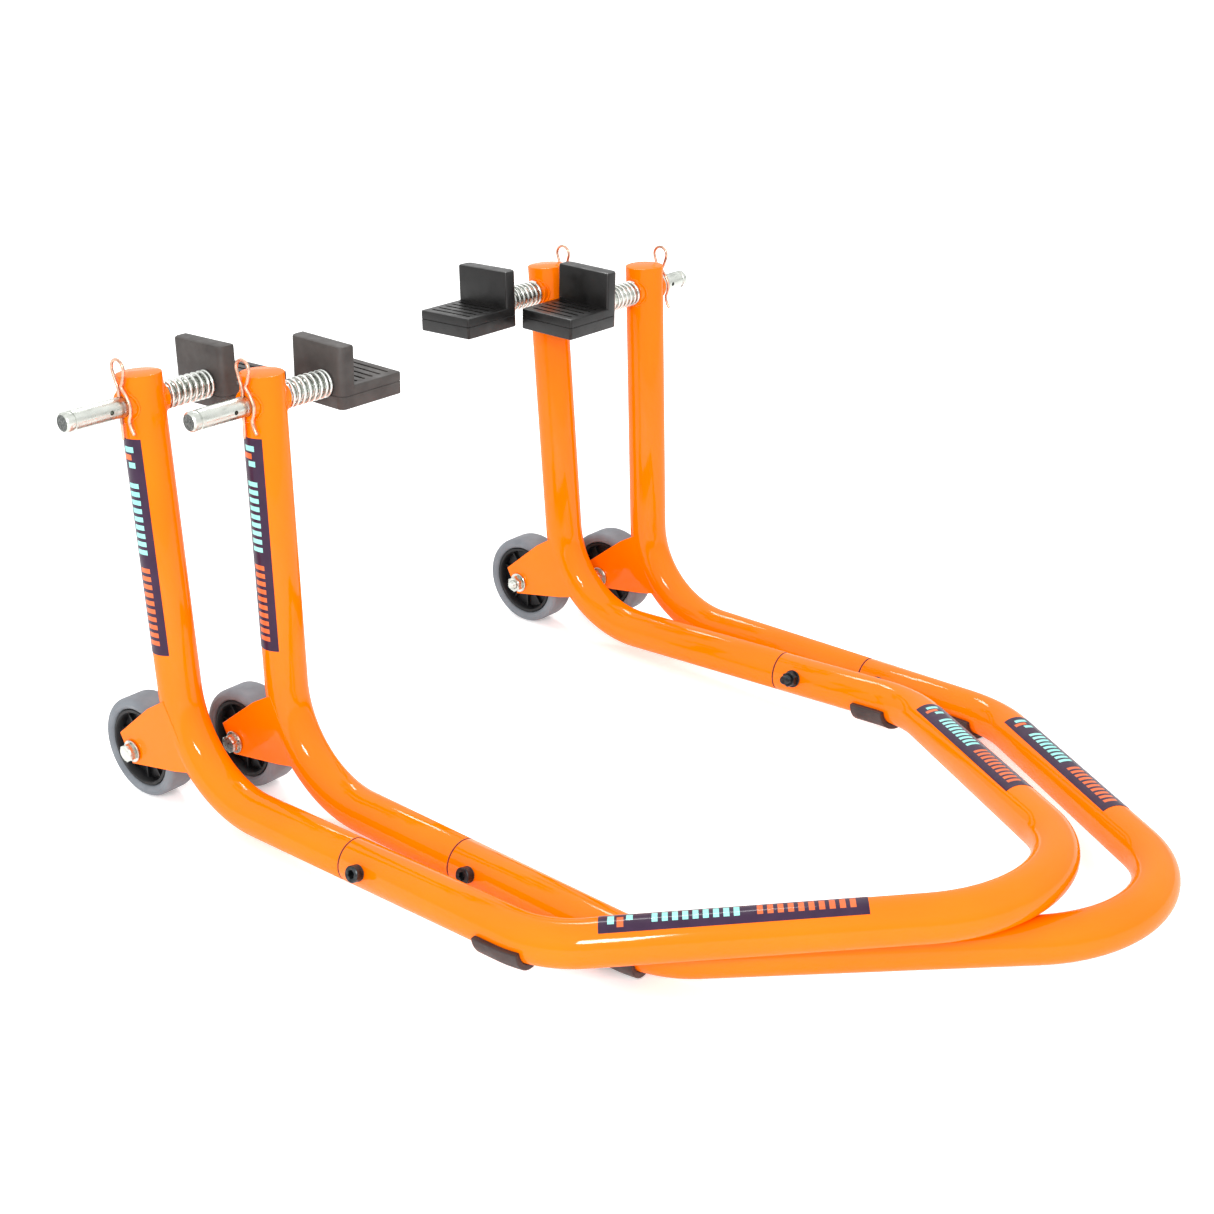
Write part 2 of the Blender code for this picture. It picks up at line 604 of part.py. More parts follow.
def main():
    clear_scene()
    make_materials()
    middle_x = (PIN_END_X["right"] - PIN_END_X["left"]) / 2
    middle_y = (NOSE_TIP_Y - FORWARD_STEP + WHEEL_BACK_Y) / 2
    make_stand("stand1", Vector((SIDE_STEP / 2 - middle_x, -FORWARD_STEP - middle_y, 0.0)), 0.0)
    make_stand("stand2", Vector((-SIDE_STEP / 2 - middle_x, -middle_y, 0.0)), LEAN_ANGLE)


main()
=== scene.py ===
"""The looks of two motorcycle paddock stands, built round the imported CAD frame.

Metres, +Z up. Every piece is made in its stand's own coordinates (floor at Z = 0, rear bends near
Y = 0, +X to the right leg) and placed by a matrix that is worked out from the frame's joints.
"""
import json
import math

import bmesh
import bpy
from mathutils import Matrix, Vector


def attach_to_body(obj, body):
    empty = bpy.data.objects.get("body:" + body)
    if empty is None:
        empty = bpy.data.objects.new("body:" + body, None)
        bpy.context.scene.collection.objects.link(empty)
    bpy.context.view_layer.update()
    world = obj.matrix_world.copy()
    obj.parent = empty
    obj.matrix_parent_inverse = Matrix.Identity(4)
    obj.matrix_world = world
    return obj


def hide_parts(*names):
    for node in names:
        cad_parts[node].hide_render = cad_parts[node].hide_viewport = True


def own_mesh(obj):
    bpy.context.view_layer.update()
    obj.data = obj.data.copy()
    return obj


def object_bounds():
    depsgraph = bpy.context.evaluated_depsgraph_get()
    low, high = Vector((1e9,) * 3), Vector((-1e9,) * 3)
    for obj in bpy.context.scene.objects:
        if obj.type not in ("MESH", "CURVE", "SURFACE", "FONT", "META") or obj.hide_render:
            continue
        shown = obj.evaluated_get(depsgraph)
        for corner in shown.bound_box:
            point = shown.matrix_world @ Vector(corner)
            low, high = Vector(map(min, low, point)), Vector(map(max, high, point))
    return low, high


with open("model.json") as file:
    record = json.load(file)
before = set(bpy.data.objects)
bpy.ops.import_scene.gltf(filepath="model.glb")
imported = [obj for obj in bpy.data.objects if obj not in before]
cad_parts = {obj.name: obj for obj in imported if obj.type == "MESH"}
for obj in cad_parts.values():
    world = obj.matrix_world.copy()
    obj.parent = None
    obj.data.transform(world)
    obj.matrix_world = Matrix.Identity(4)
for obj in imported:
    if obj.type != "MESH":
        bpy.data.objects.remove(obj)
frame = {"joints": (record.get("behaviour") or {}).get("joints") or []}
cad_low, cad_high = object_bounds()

# ---- driving dimensions, as in the CAD ----
TUBE_R = 0.0175
UPRIGHT_TOP = Vector((0.2342, 0.0156, 0.3640))
REAR_CORNER = Vector((0.2370, -0.0011, 0.0200))
FRONT_CORNER = Vector((0.2435, -0.3890, 0.0230))
NOSE_CORNER = Vector((0.0, -0.7020, 0.0593))
REAR_BEND_R = 0.090
FRONT_BEND_R = 0.085
NOSE_BEND_R = 0.103         # 1 mm over the CAD: a smooth bend reaches further than its facets
SPLIT_Y = {"left": -0.197, "right": -0.255}
SPLIT_GAP = 0.0003
AXLE = Vector((0.2370, 0.0484, 0.0430))
WHEEL_R = 0.0430
TYRE_SHOULDER = 0.0052
TYRE_WIDTH = 0.0290
HUB_R = 0.0335
HUB_WIDTH = 0.0250
HUB_WEB = 0.0045              # half the web's thickness
RIB_COUNT = 10
RIB_HEIGHT = 0.0030
SLEEVE_R = 0.0070
AXLE_R = 0.0040
CHEEK_THICKNESS = 0.0030
CHEEK_SINK = 0.0012
PIN_Y = 0.0146
PIN_Z = 0.3414
PIN_R = 0.0080
PIN_END_X = {"left": 0.3070, "right": 0.2910}
BUSH_R = 0.0120
BUSH_LENGTH = 0.0370
BUSH_X = 0.2344
REST_OUTER_X = 0.1711
REST_WALL = 0.0148
REST_PLATE_LENGTH = 0.0506
REST_PLATE_THICKNESS = 0.0187
REST_BOTTOM_Z = 0.3217
REST_TOP_Z = 0.3732
REST_CENTRE_Y = 0.0251
REST_HALF_WIDTH = 0.0296
GROOVE_COUNT = 5
GROOVE_FROM_TIP = 0.0075
GROOVE_PITCH = 0.0085
GROOVE_WIDTH = 0.0026
GROOVE_DEPTH = 0.0034
GROOVE_MARGIN = 0.0065
SPRING_COIL_R = 0.0103
SPRING_WIRE_R = 0.0012
SPRING_TURNS = 6.5
SPRING_CLOSED_TURNS = 0.9    # turns at each end that lie together
CLIP_WIRE_R = 0.0013
CLIP_X = 0.2548
SPARE_HOLE_X = 0.2680
SCREW_R = 0.0040
SCREW_HEAD_R = 0.0066
SCREW_HEAD_HEIGHT = 0.0075
SCREW_FROM_SPLIT = 0.0220
SCREW_TILT = math.radians(14)
SCREW_TIP = 0.0080
HEX_SIZE = 0.0140
WASHER_R = 0.0095
COUPLING_HEX_SIZE = 0.0125
COUPLING_WASHER_R = 0.0078
NUT_HEIGHT_TO_SHANK_R = 1.6
WASHER_HEIGHT = 0.0015
THREAD_TIP = 0.0040
THREAD_PITCH = 0.00125
FOOT_R = 0.0225
FOOT_START_Y = -0.3400
FOOT_END_Y = -0.3800
FOOT_HALF_ANGLE = math.radians(86)

# ---- how fine the meshes are ----
TUBE_SIDES = 64
ROUND_SIDES = 48
WHEEL_SIDES = 96
WIRE_SIDES = 12
SPRING_STEPS = 44            # points in each turn
BEND_STEP = math.radians(3)
EDGE = 0.0007               # rounding of a cut tube end
BEAD_R = 0.0011
BEAD_SIDES = 10

# ---- stickers, as shares of each straight run ----
LABEL_LIFT = 0.00025
LABEL_HALF_ANGLE = math.radians(39)
UPRIGHT_LABEL = (0.316, 0.140)          # heights of its ends
DIAGONAL_LABEL = (0.10, 0.565)


# ---- materials ----
def node(tree, kind, **values):
    made = tree.nodes.new(kind)
    for name, value in values.items():
        if name in made.inputs:
            made.inputs[name].default_value = value
        else:
            setattr(made, name, value)
    return made


def ramp(tree, source, stops):
    """A colour ramp fed by a grey value."""
    made = tree.nodes.new("ShaderNodeValToRGB")
    points = made.color_ramp.elements
    while len(points) < len(stops):
        points.new(0.5)
    for point, (position, colour) in zip(points, stops):
        point.position = position
        point.color = (*colour, 1.0) if len(colour) == 3 else colour
    tree.links.new(source, made.inputs["Fac"])
    return made.outputs["Color"]


def grey(value):
    return (value, value, value)


def noise(tree, scale, detail=4.0, stretch=(1.0, 1.0, 1.0)):
    """Noise in metres that is fixed to its piece, stretched along the axes."""
    place = node(tree, "ShaderNodeTexCoord")
    mapping = node(tree, "ShaderNodeMapping")
    mapping.inputs["Scale"].default_value = stretch
    texture = node(tree, "ShaderNodeTexNoise", Scale=scale, Detail=detail)
    tree.links.new(place.outputs["Object"], mapping.inputs["Vector"])
    tree.links.new(mapping.outputs["Vector"], texture.inputs["Vector"])
    return texture.outputs["Fac"]


def add_bump(tree, shader, layers):
    """Bump layers (height, strength, distance), one on top of another."""
    below = None
    for height, strength, distance in layers:
        bump = node(tree, "ShaderNodeBump", Strength=strength, Distance=distance)
        tree.links.new(height, bump.inputs["Height"])
        if below:
            tree.links.new(below, bump.inputs["Normal"])
        below = bump.outputs["Normal"]
    tree.links.new(below, shader.inputs["Normal"])


def new_material(name, colour, roughness, metallic=0.0, **sockets):
    made = bpy.data.materials.new(name)
    made.use_nodes = True
    made.diffuse_color = (*colour, 1.0)
    shader = made.node_tree.nodes["Principled BSDF"]
    shader.inputs["Base Color"].default_value = (*colour, 1.0)
    shader.inputs["Roughness"].default_value = roughness
    shader.inputs["Metallic"].default_value = metallic
    for socket, value in sockets.items():
        shader.inputs[socket.replace("_", " ")].default_value = value
    return made, made.node_tree, shader


def powder_coat():
    """Gloss orange powder coat: orange peel, faint tone changes, and dust-sized specks."""
    made, tree, shader = new_material("orange_powder_coat", (0.90, 0.160, 0.0), 0.3, Coat_Weight=0.45,
                                      Coat_Roughness=0.06, Specular_IOR_Level=0.0)
    tone = ramp(tree, noise(tree, 14.0, 3.0), [(0.3, (0.87, 0.154, 0.0)), (0.7, (0.92, 0.168, 0.0))])
    tree.links.new(tone, shader.inputs["Base Color"])
    rough = ramp(tree, noise(tree, 60.0, 5.0), [(0.3, grey(0.24)), (0.75, grey(0.38))])
    tree.links.new(rough, shader.inputs["Roughness"])
    add_bump(tree, shader, [(noise(tree, 420.0, 2.0), 0.05, 0.0003),
                            (noise(tree, 45.0, 2.0), 0.02, 0.0005)])
    return made


def zinc(name, colour, dark):
    """Bright zinc plate: cloudy spangle, drawn scratches along the bar, and small dark pits."""
    made, tree, shader = new_material(name, colour, 0.3, 1.0)
    cloud = noise(tree, 130.0, 6.0, (0.35, 1.0, 1.0))
    bright = tuple(min(1.0, c * 1.25) for c in colour)
    tone = ramp(tree, cloud, [(0.25, dark), (0.45, colour), (0.75, bright)])
    tree.links.new(tone, shader.inputs["Base Color"])
    rough = ramp(tree, noise(tree, 260.0, 5.0), [(0.3, grey(0.18)), (0.7, grey(0.42))])
    tree.links.new(rough, shader.inputs["Roughness"])
    scratches = noise(tree, 900.0, 3.0, (0.06, 1.0, 1.0))
    add_bump(tree, shader, [(scratches, 0.18, 0.0002), (cloud, 0.12, 0.0006)])
    return made


def rubber(name, low, high, grain, roughness):
    """Moulded rubber: fine grain, paler bloom in patches, and soft scuffs."""
    made, tree, shader = new_material(name, low, roughness, Specular_IOR_Level=0.4)
    tone = ramp(tree, noise(tree, 55.0, 6.0), [(0.35, low), (0.75, high)])
    tree.links.new(tone, shader.inputs["Base Color"])
    rough = ramp(tree, noise(tree, 90.0, 4.0),
                 [(0.3, grey(roughness - 0.14)), (0.7, grey(roughness + 0.1))])
    tree.links.new(rough, shader.inputs["Roughness"])
    add_bump(tree, shader, [(noise(tree, grain, 3.0), 0.22, 0.0002),
                            (noise(tree, 90.0, 3.0), 0.12, 0.0005)])
    return made


def black_plastic():
    made, tree, shader = new_material("hub_plastic", (0.004, 0.004, 0.005), 0.4, Specular_IOR_Level=0.25)
    tone = ramp(tree, noise(tree, 45.0, 4.0),
                [(0.3, (0.003, 0.003, 0.0035)), (0.75, (0.008, 0.008, 0.009))])
    tree.links.new(tone, shader.inputs["Base Color"])
    rough = ramp(tree, noise(tree, 120.0, 3.0), [(0.3, grey(0.3)), (0.7, grey(0.52))])
    tree.links.new(rough, shader.inputs["Roughness"])
    add_bump(tree, shader, [(noise(tree, 1100.0, 2.0), 0.2, 0.0002)])
    return made


def black_oxide():
    made, tree, shader = new_material("black_oxide", (0.02, 0.024, 0.028), 0.35, 0.8)
    tone = ramp(tree, noise(tree, 300.0, 5.0), [(0.35, (0.012, 0.015, 0.018)), (0.8, (0.06, 0.07, 0.075))])
    tree.links.new(tone, shader.inputs["Base Color"])
    add_bump(tree, shader, [(noise(tree, 1300.0, 3.0), 0.3, 0.0002)])
    return made


def sawn_end():
    """The rough, dark face of a cut bar."""
    made, tree, shader = new_material("sawn_bar_end", (0.09, 0.1, 0.1), 0.6, 0.7)
    grain = noise(tree, 900.0, 5.0)
    tree.links.new(ramp(tree, grain, [(0.3, (0.03, 0.035, 0.035)), (0.7, (0.2, 0.21, 0.2))]),
                   shader.inputs["Base Color"])
    add_bump(tree, shader, [(grain, 0.7, 0.0005)])
    return made


def coupling_end_gap_shade():
    """The thin, dull edge where paint ends at a coupling, darkened further as painted shade of the narrow
    gap between the tubes.
    """
    made, tree, shader = new_material("coupling_end_painted_gap_shade", (0.16, 0.03, 0.012), 0.6)
    tone = ramp(tree, noise(tree, 500.0, 4.0), [(0.3, (0.05, 0.012, 0.008)), (0.7, (0.30, 0.05, 0.012))])
    tree.links.new(tone, shader.inputs["Base Color"])
    add_bump(tree, shader, [(noise(tree, 900.0, 3.0), 0.4, 0.0003)])
    return made


def film(name, low, high):
    """Printed gloss film with a little unevenness under it."""
    made, tree, shader = new_material(name, low, 0.5, Coat_Weight=0.25, Coat_Roughness=0.08,
                                      Specular_IOR_Level=0.1)
    tone = ramp(tree, noise(tree, 70.0, 4.0), [(0.3, low), (0.75, high)])
    tree.links.new(tone, shader.inputs["Base Color"])
    rough = ramp(tree, noise(tree, 160.0, 3.0), [(0.3, grey(0.42)), (0.7, grey(0.58))])
    tree.links.new(rough, shader.inputs["Roughness"])
    add_bump(tree, shader, [(noise(tree, 240.0, 2.0), 0.06, 0.0004)])
    return made


def floor_paint():
    """White sweep that is also lit from below, as a light table is, so that shadows stay faint."""
    made, tree, shader = new_material("pale_floor", (0.93, 0.93, 0.93), 0.6, Emission_Strength=0.3,
                                      Emission_Color=(1.0, 1.0, 1.0, 1.0))
    tone = ramp(tree, noise(tree, 1.6, 3.0), [(0.3, grey(0.92)), (0.7, grey(0.94))])
    tree.links.new(tone, shader.inputs["Base Color"])
    add_bump(tree, shader, [(noise(tree, 180.0, 3.0), 0.03, 0.0005)])
    return made


ORANGE = powder_coat()
ZINC = zinc("zinc_plate", (0.52, 0.54, 0.50), (0.17, 0.19, 0.165))
SPRING_ZINC = zinc("spring_zinc_plate", (0.66, 0.68, 0.65), (0.36, 0.38, 0.35))
CLIP_ZINC = zinc("clip_wire_zinc", (0.58, 0.36, 0.26), (0.20, 0.10, 0.07))
TYRE = rubber("tyre_rubber", (0.135, 0.150, 0.168), (0.175, 0.192, 0.212), 1400.0, 0.62)
# One rubber on both sides: the left pads are coloured lighter as painted light, the right pads near-black
# as painted shade.
PAD_RUBBER = {
    "left": rubber("rest_rubber_painted_lit", (0.034, 0.029, 0.027), (0.060, 0.053, 0.049), 1500.0, 0.6),
    "right": rubber("rest_rubber_painted_shade", (0.0022, 0.0020, 0.0020), (0.0070, 0.0062, 0.0058), 1500.0, 0.42),
}
FOOT_RUBBER = rubber("foot_rubber_brown", (0.020, 0.010, 0.009), (0.040, 0.022, 0.019), 1200.0, 0.55)
HUB = black_plastic()
OXIDE = black_oxide()
SAWN = sawn_end()
COUPLING_END_GAP_SHADE = coupling_end_gap_shade()
FILM_DARK = film("label_film_dark", (0.026, 0.009, 0.030), (0.038, 0.015, 0.042))
FILM_TEAL = film("label_film_teal", (0.24, 0.62, 0.57), (0.32, 0.72, 0.66))
FILM_ORANGE = film("label_film_orange", (0.60, 0.11, 0.03), (0.68, 0.15, 0.045))


# ---- shapes ----
def loft(mesh, rings, closed=False):
    """Skins a row of equal rings into bmesh, with flat ends unless it closes on itself."""
    made = [[mesh.verts.new(point) for point in ring] for ring in rings]
    count = len(made[0])
    pairs = list(zip(made, made[1:])) + ([(made[-1], made[0])] if closed else [])
    faces = []
    for low, high in pairs:
        for i in range(count):
            j = (i + 1) % count
            faces.append(mesh.faces.new((low[i], low[j], high[j], high[i])))
    if not closed:
        faces.append(mesh.faces.new(list(reversed(made[0]))))
        faces.append(mesh.faces.new(made[-1]))
    return faces


def ring_x(x, radius, sides=ROUND_SIDES):
    angles = [2 * math.pi * i / sides for i in range(sides)]
    return [Vector((x, radius * math.cos(angle), radius * math.sin(angle))) for angle in angles]


def hex_ring_x(x, across_flats, cap, sides=ROUND_SIDES):
    """A ring on a hexagon's outline, cut back to the cap radius where its corners pass it."""
    ring = []
    for i in range(sides):
        angle = 2 * math.pi * i / sides
        to_flat = (angle + math.pi / 6) % (math.pi / 3) - math.pi / 6
        radius = min(across_flats / 2 / math.cos(to_flat), cap)
        ring.append(Vector((x, radius * math.cos(angle), radius * math.sin(angle))))
    return ring


def turned(mesh, profile, sides=ROUND_SIDES, closed=False):
    return loft(mesh, [ring_x(x, radius, sides) for x, radius in profile], closed)


def arc(centre, radius, start, end, steps):
    """Points of an arc, angles in degrees."""
    return [(centre[0] + radius * math.cos(math.radians(start + (end - start) * i / steps)),
             centre[1] + radius * math.sin(math.radians(start + (end - start) * i / steps)))
            for i in range(steps + 1)]


def bend_path(corners, radii, step=BEND_STEP):
    """Points and directions along straight runs with round bends."""
    points = [corners[0]]
    ways = [(corners[1] - corners[0]).normalized()]
    for corner, before, after, radius in zip(corners[1:-1], corners, corners[2:], radii):
        way_in = (corner - before).normalized()
        way_out = (after - corner).normalized()
        turn = way_in.angle(way_out)
        centre = corner + (way_out - way_in).normalized() * radius / math.cos(turn / 2)
        arm = corner - way_in * radius * math.tan(turn / 2) - centre
        axis = way_in.cross(way_out).normalized()
        steps = max(2, math.ceil(turn / step))
        for i in range(steps + 1):
            spin = Matrix.Rotation(turn * i / steps, 3, axis)
            points.append(centre + spin @ arm)
            ways.append(spin @ way_in)
    points.append(corners[-1])
    ways.append((corners[-1] - corners[-2]).normalized())
    return points, ways


def path_rings(points, ways, radii, sides):
    """Rings across a path, carried along it without twisting."""
    guide = Vector((0, 0, 1)) if abs(ways[0].x) > 0.9 else Vector((1, 0, 0))
    rings = []
    for point, way, radius in zip(points, ways, radii):
        across = (guide - way * guide.dot(way)).normalized()
        over = way.cross(across)
        rings.append([point + (across * math.cos(2 * math.pi * i / sides)
                               + over * math.sin(2 * math.pi * i / sides)) * radius for i in range(sides)])
        guide = across
    return rings


def tube(mesh, points, ways, cut_ends):
    """A round tube with softened ends. cut_ends are 0 for the start and 1 for the end, where the
    cut edge of a coupling shows, dark with painted shade of the gap (material slot 1)."""
    first, last = points[0], points[-1]
    points = [first, first + ways[0] * EDGE * 0.3, first + ways[0] * EDGE, *points[1:-1],
              last - ways[-1] * EDGE, last - ways[-1] * EDGE * 0.3, last]
    ways = [ways[0]] * 3 + ways[1:-1] + [ways[-1]] * 3
    inner = [TUBE_R - EDGE, TUBE_R - EDGE * 0.3, TUBE_R]
    radii = inner + [TUBE_R] * (len(points) - 6) + inner[::-1]
    faces = loft(mesh, path_rings(points, ways, radii, TUBE_SIDES))
    gap_shaded_faces = {0: faces[:TUBE_SIDES * 2] + faces[-2:-1], 1: faces[-2 - TUBE_SIDES * 2:-2] + faces[-1:]}
    # These end faces and their rounded rims get the dark coupling-end colour, which is painted shade of the
    # gap between the tubes.
    for end in cut_ends:
        for face in gap_shaded_faces[end]:
            face.material_index = 1


def wire(mesh, points, radius, sides=WIRE_SIDES, closed=False):
    """A round wire along points, with rounded ends."""
    count = len(points)
    ways = []
    for i in range(count):
        ahead = points[(i + 1) % count] if closed else points[min(i + 1, count - 1)]
        behind = points[(i - 1) % count] if closed else points[max(i - 1, 0)]
        ways.append((ahead - behind).normalized())
    radii = [radius] * count
    if not closed:
        points = [points[0] - ways[0] * radius * 0.5, *points, points[-1] + ways[-1] * radius * 0.5]
        ways = [ways[0], *ways, ways[-1]]
        radii = [radius * 0.5, *radii, radius * 0.5]
    loft(mesh, path_rings(points, ways, radii, sides), closed)


def bead(mesh, points):
    """A closed weld bead: a wire whose thickness ripples."""
    count = len(points)
    ways = [(points[(i + 1) % count] - points[(i - 1) % count]).normalized() for i in range(count)]
    radii = [BEAD_R * (1 + 0.12 * math.sin(i * 2.4) + 0.06 * math.sin(i * 5.1)) for i in range(count)]
    loft(mesh, path_rings(points, ways, radii, BEAD_SIDES), True)


def smooth_curve(knots, steps):
    """A smooth curve through the knots."""
    points = []
    for i in range(len(knots) - 1):
        before, here, after = knots[max(i - 1, 0)], knots[i], knots[i + 1]
        beyond = knots[min(i + 2, len(knots) - 1)]
        for k in range(steps):
            t = k / steps
            points.append(0.5 * (2 * here + (after - before) * t
                                 + (2 * before - 5 * here + 4 * after - beyond) * t * t
                                 + (3 * here - before - 3 * after + beyond) * t ** 3))
    points.append(knots[-1])
    return points


def rounded_rect(low, high, radii, inset=0.0):
    """An XY outline with its own radius at each corner: low-low, high-low, high-high, low-high."""
    low_x, low_y = low[0] + inset, low[1] + inset
    high_x, high_y = high[0] - inset, high[1] - inset
    corners = [(low_x, low_y, 180), (high_x, low_y, 270), (high_x, high_y, 0), (low_x, high_y, 90)]
    points = []
    for (x, y, start), radius in zip(corners, radii):
        r = max(radius - inset, 0.0002)
        centre = (x + (r if x == low_x else -r), y + (r if y == low_y else -r))
        points += arc(centre, r, start, start + 90, 8)
    return points


def slab(mesh, low, high, radii, levels, sign):
    """A block with a rounded outline. levels are (height, inset) pairs from the bottom up."""
    loft(mesh, [[Vector((x * sign, y, z)) for x, y in rounded_rect(low, high, radii, inset)]
                for z, inset in levels])


# ---- putting pieces in place ----
JOINTS = {joint["name"]: joint for joint in frame["joints"]}
SIDES = (("left", -1), ("right", 1))


def stand_matrix(stand):
    """Where a stand's own coordinates are, from its wheel axles and the line of its clips."""
    axles = [Vector(JOINTS[f"{stand}_{side}_wheel_spin"]["pos_m"]) for side, _ in SIDES]
    up = Vector(JOINTS[f"{stand}_left_clip_pull"]["axis"]).normalized()
    across = Vector((1.0, 0.0, 0.0))
    turn = Matrix((across, up.cross(across), up)).transposed().to_4x4()
    to_axle = Matrix.Translation(-Vector((0, AXLE.y, AXLE.z)))
    return Matrix.Translation((axles[0] + axles[1]) / 2) @ turn @ to_axle


def to_side(point, sign):
    return Vector((point[0] * sign, point[1], point[2]))


def finished(stand, name, mesh, materials, bevel=0.0, angle=35):
    """A named piece in its stand's place, smooth but for its real edges."""
    bmesh.ops.recalc_face_normals(mesh, faces=mesh.faces)
    mesh.transform(stand_matrix(stand))
    data = bpy.data.meshes.new(f"{stand}_{name}")
    mesh.to_mesh(data)
    mesh.free()
    for material in materials:
        data.materials.append(material)
    data.shade_smooth()
    data.set_sharp_from_angle(angle=math.radians(angle))
    piece = bpy.data.objects.new(f"{stand}_{name}", data)
    bpy.context.collection.objects.link(piece)
    if bevel:
        rounding = piece.modifiers.new("edges", "BEVEL")
        rounding.width = bevel
        rounding.segments = 3
        rounding.limit_method = "ANGLE"
        rounding.angle_limit = math.radians(40)
        rounding.harden_normals = True
    return piece


def boolean(stand, piece, mesh, operation):
    """Joins or cuts a shape in stand coordinates, and keeps the result as the piece's mesh."""
    bmesh.ops.recalc_face_normals(mesh, faces=mesh.faces)
    mesh.transform(stand_matrix(stand))
    data = bpy.data.meshes.new("tool")
    mesh.to_mesh(data)
    mesh.free()
    tool = bpy.data.objects.new("tool", data)
    bpy.context.collection.objects.link(tool)
    step = piece.modifiers.new("step", "BOOLEAN")
    step.operation = operation
    step.object = tool
    step.solver = "EXACT"
    bpy.context.view_layer.update()
    result = bpy.data.meshes.new_from_object(piece.evaluated_get(bpy.context.evaluated_depsgraph_get()))
    piece.modifiers.remove(step)
    piece.data = result
    bpy.data.objects.remove(tool)
    piece.data.shade_smooth()
    piece.data.set_sharp_from_angle(angle=math.radians(35))


def attach(piece, body, cad_node=None):
    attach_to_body(piece, body)
    if cad_node:
        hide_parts(cad_node)
    return piece


# ---- frame ----
def arm_point(y):
    """The right arm's centre line at a given Y."""
    return REAR_CORNER.lerp(FRONT_CORNER, (y - REAR_CORNER.y) / (FRONT_CORNER.y - REAR_CORNER.y))


def cheek(mesh, sign, face_x):
    """A tapered wheel cheek. Its front edge dips into the tube, where the real one is welded flush."""
    outline = [(-0.0240, 0.0440), (-0.0020, 0.0385), (0.0509, 0.0305), (0.0636, 0.0551),
               (0.0230, 0.0880), (0.0030, 0.1000)]
    outward = 1 if face_x > 0 else -1
    rings = []
    for depth in (0.0, CHEEK_THICKNESS):
        ring = []
        for y, z in outline:
            dip = 0.0026 * min(max((0.012 - y) / 0.014, 0.0), 1.0) * outward
            ring.append(Vector(((AXLE.x + face_x + depth - dip) * sign, y, z)))
        rings.append(ring)
    loft(mesh, rings)


def make_leg(stand, side, sign):
    """Upright, rear bend and arm, with its cap, wheel cheeks and weld beads."""
    mesh = bmesh.new()
    corners = [to_side(p, sign) for p in (UPRIGHT_TOP, REAR_CORNER, arm_point(SPLIT_Y[side]))]
    points, ways = bend_path(corners, [REAR_BEND_R])
    tube(mesh, points, ways, (1,))
    for out in (-1, 1):
        saddle = []
        for i in range(60):
            angle = 2 * math.pi * i / 60
            y, z = (BUSH_R + 0.0004) * math.cos(angle), (BUSH_R + 0.0004) * math.sin(angle)
            reach = math.sqrt(TUBE_R ** 2 - y ** 2)
            saddle.append(to_side((BUSH_X + out * reach, PIN_Y + y, PIN_Z + z), sign))
        bead(mesh, saddle)
    leg = finished(stand, f"{side}_leg_tube", mesh, [ORANGE, COUPLING_END_GAP_SHADE])
    attach(leg, f"{stand}_frame", f"{stand}_{side}_leg")
    plates = bmesh.new()
    cheek(plates, sign, TUBE_R - CHEEK_SINK)
    cheek(plates, sign, -TUBE_R + CHEEK_SINK - CHEEK_THICKNESS)
    attach(finished(stand, f"{side}_wheel_cheeks", plates, [ORANGE], bevel=0.0006), f"{stand}_frame",
           None)


def make_front_loop(stand):
    mesh = bmesh.new()
    gap = Vector((0.0, SPLIT_GAP, 0.0))
    corners = [arm_point(SPLIT_Y["right"]) - gap, FRONT_CORNER, NOSE_CORNER, to_side(FRONT_CORNER, -1),
               to_side(arm_point(SPLIT_Y["left"]), -1) - gap]
    points, ways = bend_path(corners, [FRONT_BEND_R, NOSE_BEND_R, FRONT_BEND_R])
    tube(mesh, points, ways, (0, 1))
    attach(finished(stand, "front_loop_tube", mesh, [ORANGE, COUPLING_END_GAP_SHADE]), f"{stand}_frame",
           f"{stand}_front_loop")


def make_bush(stand, side, sign):
    mesh = bmesh.new()
    half, soft = BUSH_LENGTH / 2, 0.0006
    bore = PIN_R + 0.0003
    turned(mesh, [(-half, BUSH_R - soft), (-half + soft, BUSH_R), (half - soft, BUSH_R),
                  (half, BUSH_R - soft), (half, bore), (-half, bore)], closed=True)
    bmesh.ops.translate(mesh, verts=mesh.verts, vec=to_side((BUSH_X, PIN_Y, PIN_Z), sign))
    attach(finished(stand, f"{side}_cross_bush_tube", mesh, [ORANGE]), f"{stand}_frame",
           f"{stand}_{side}_cross_bush")


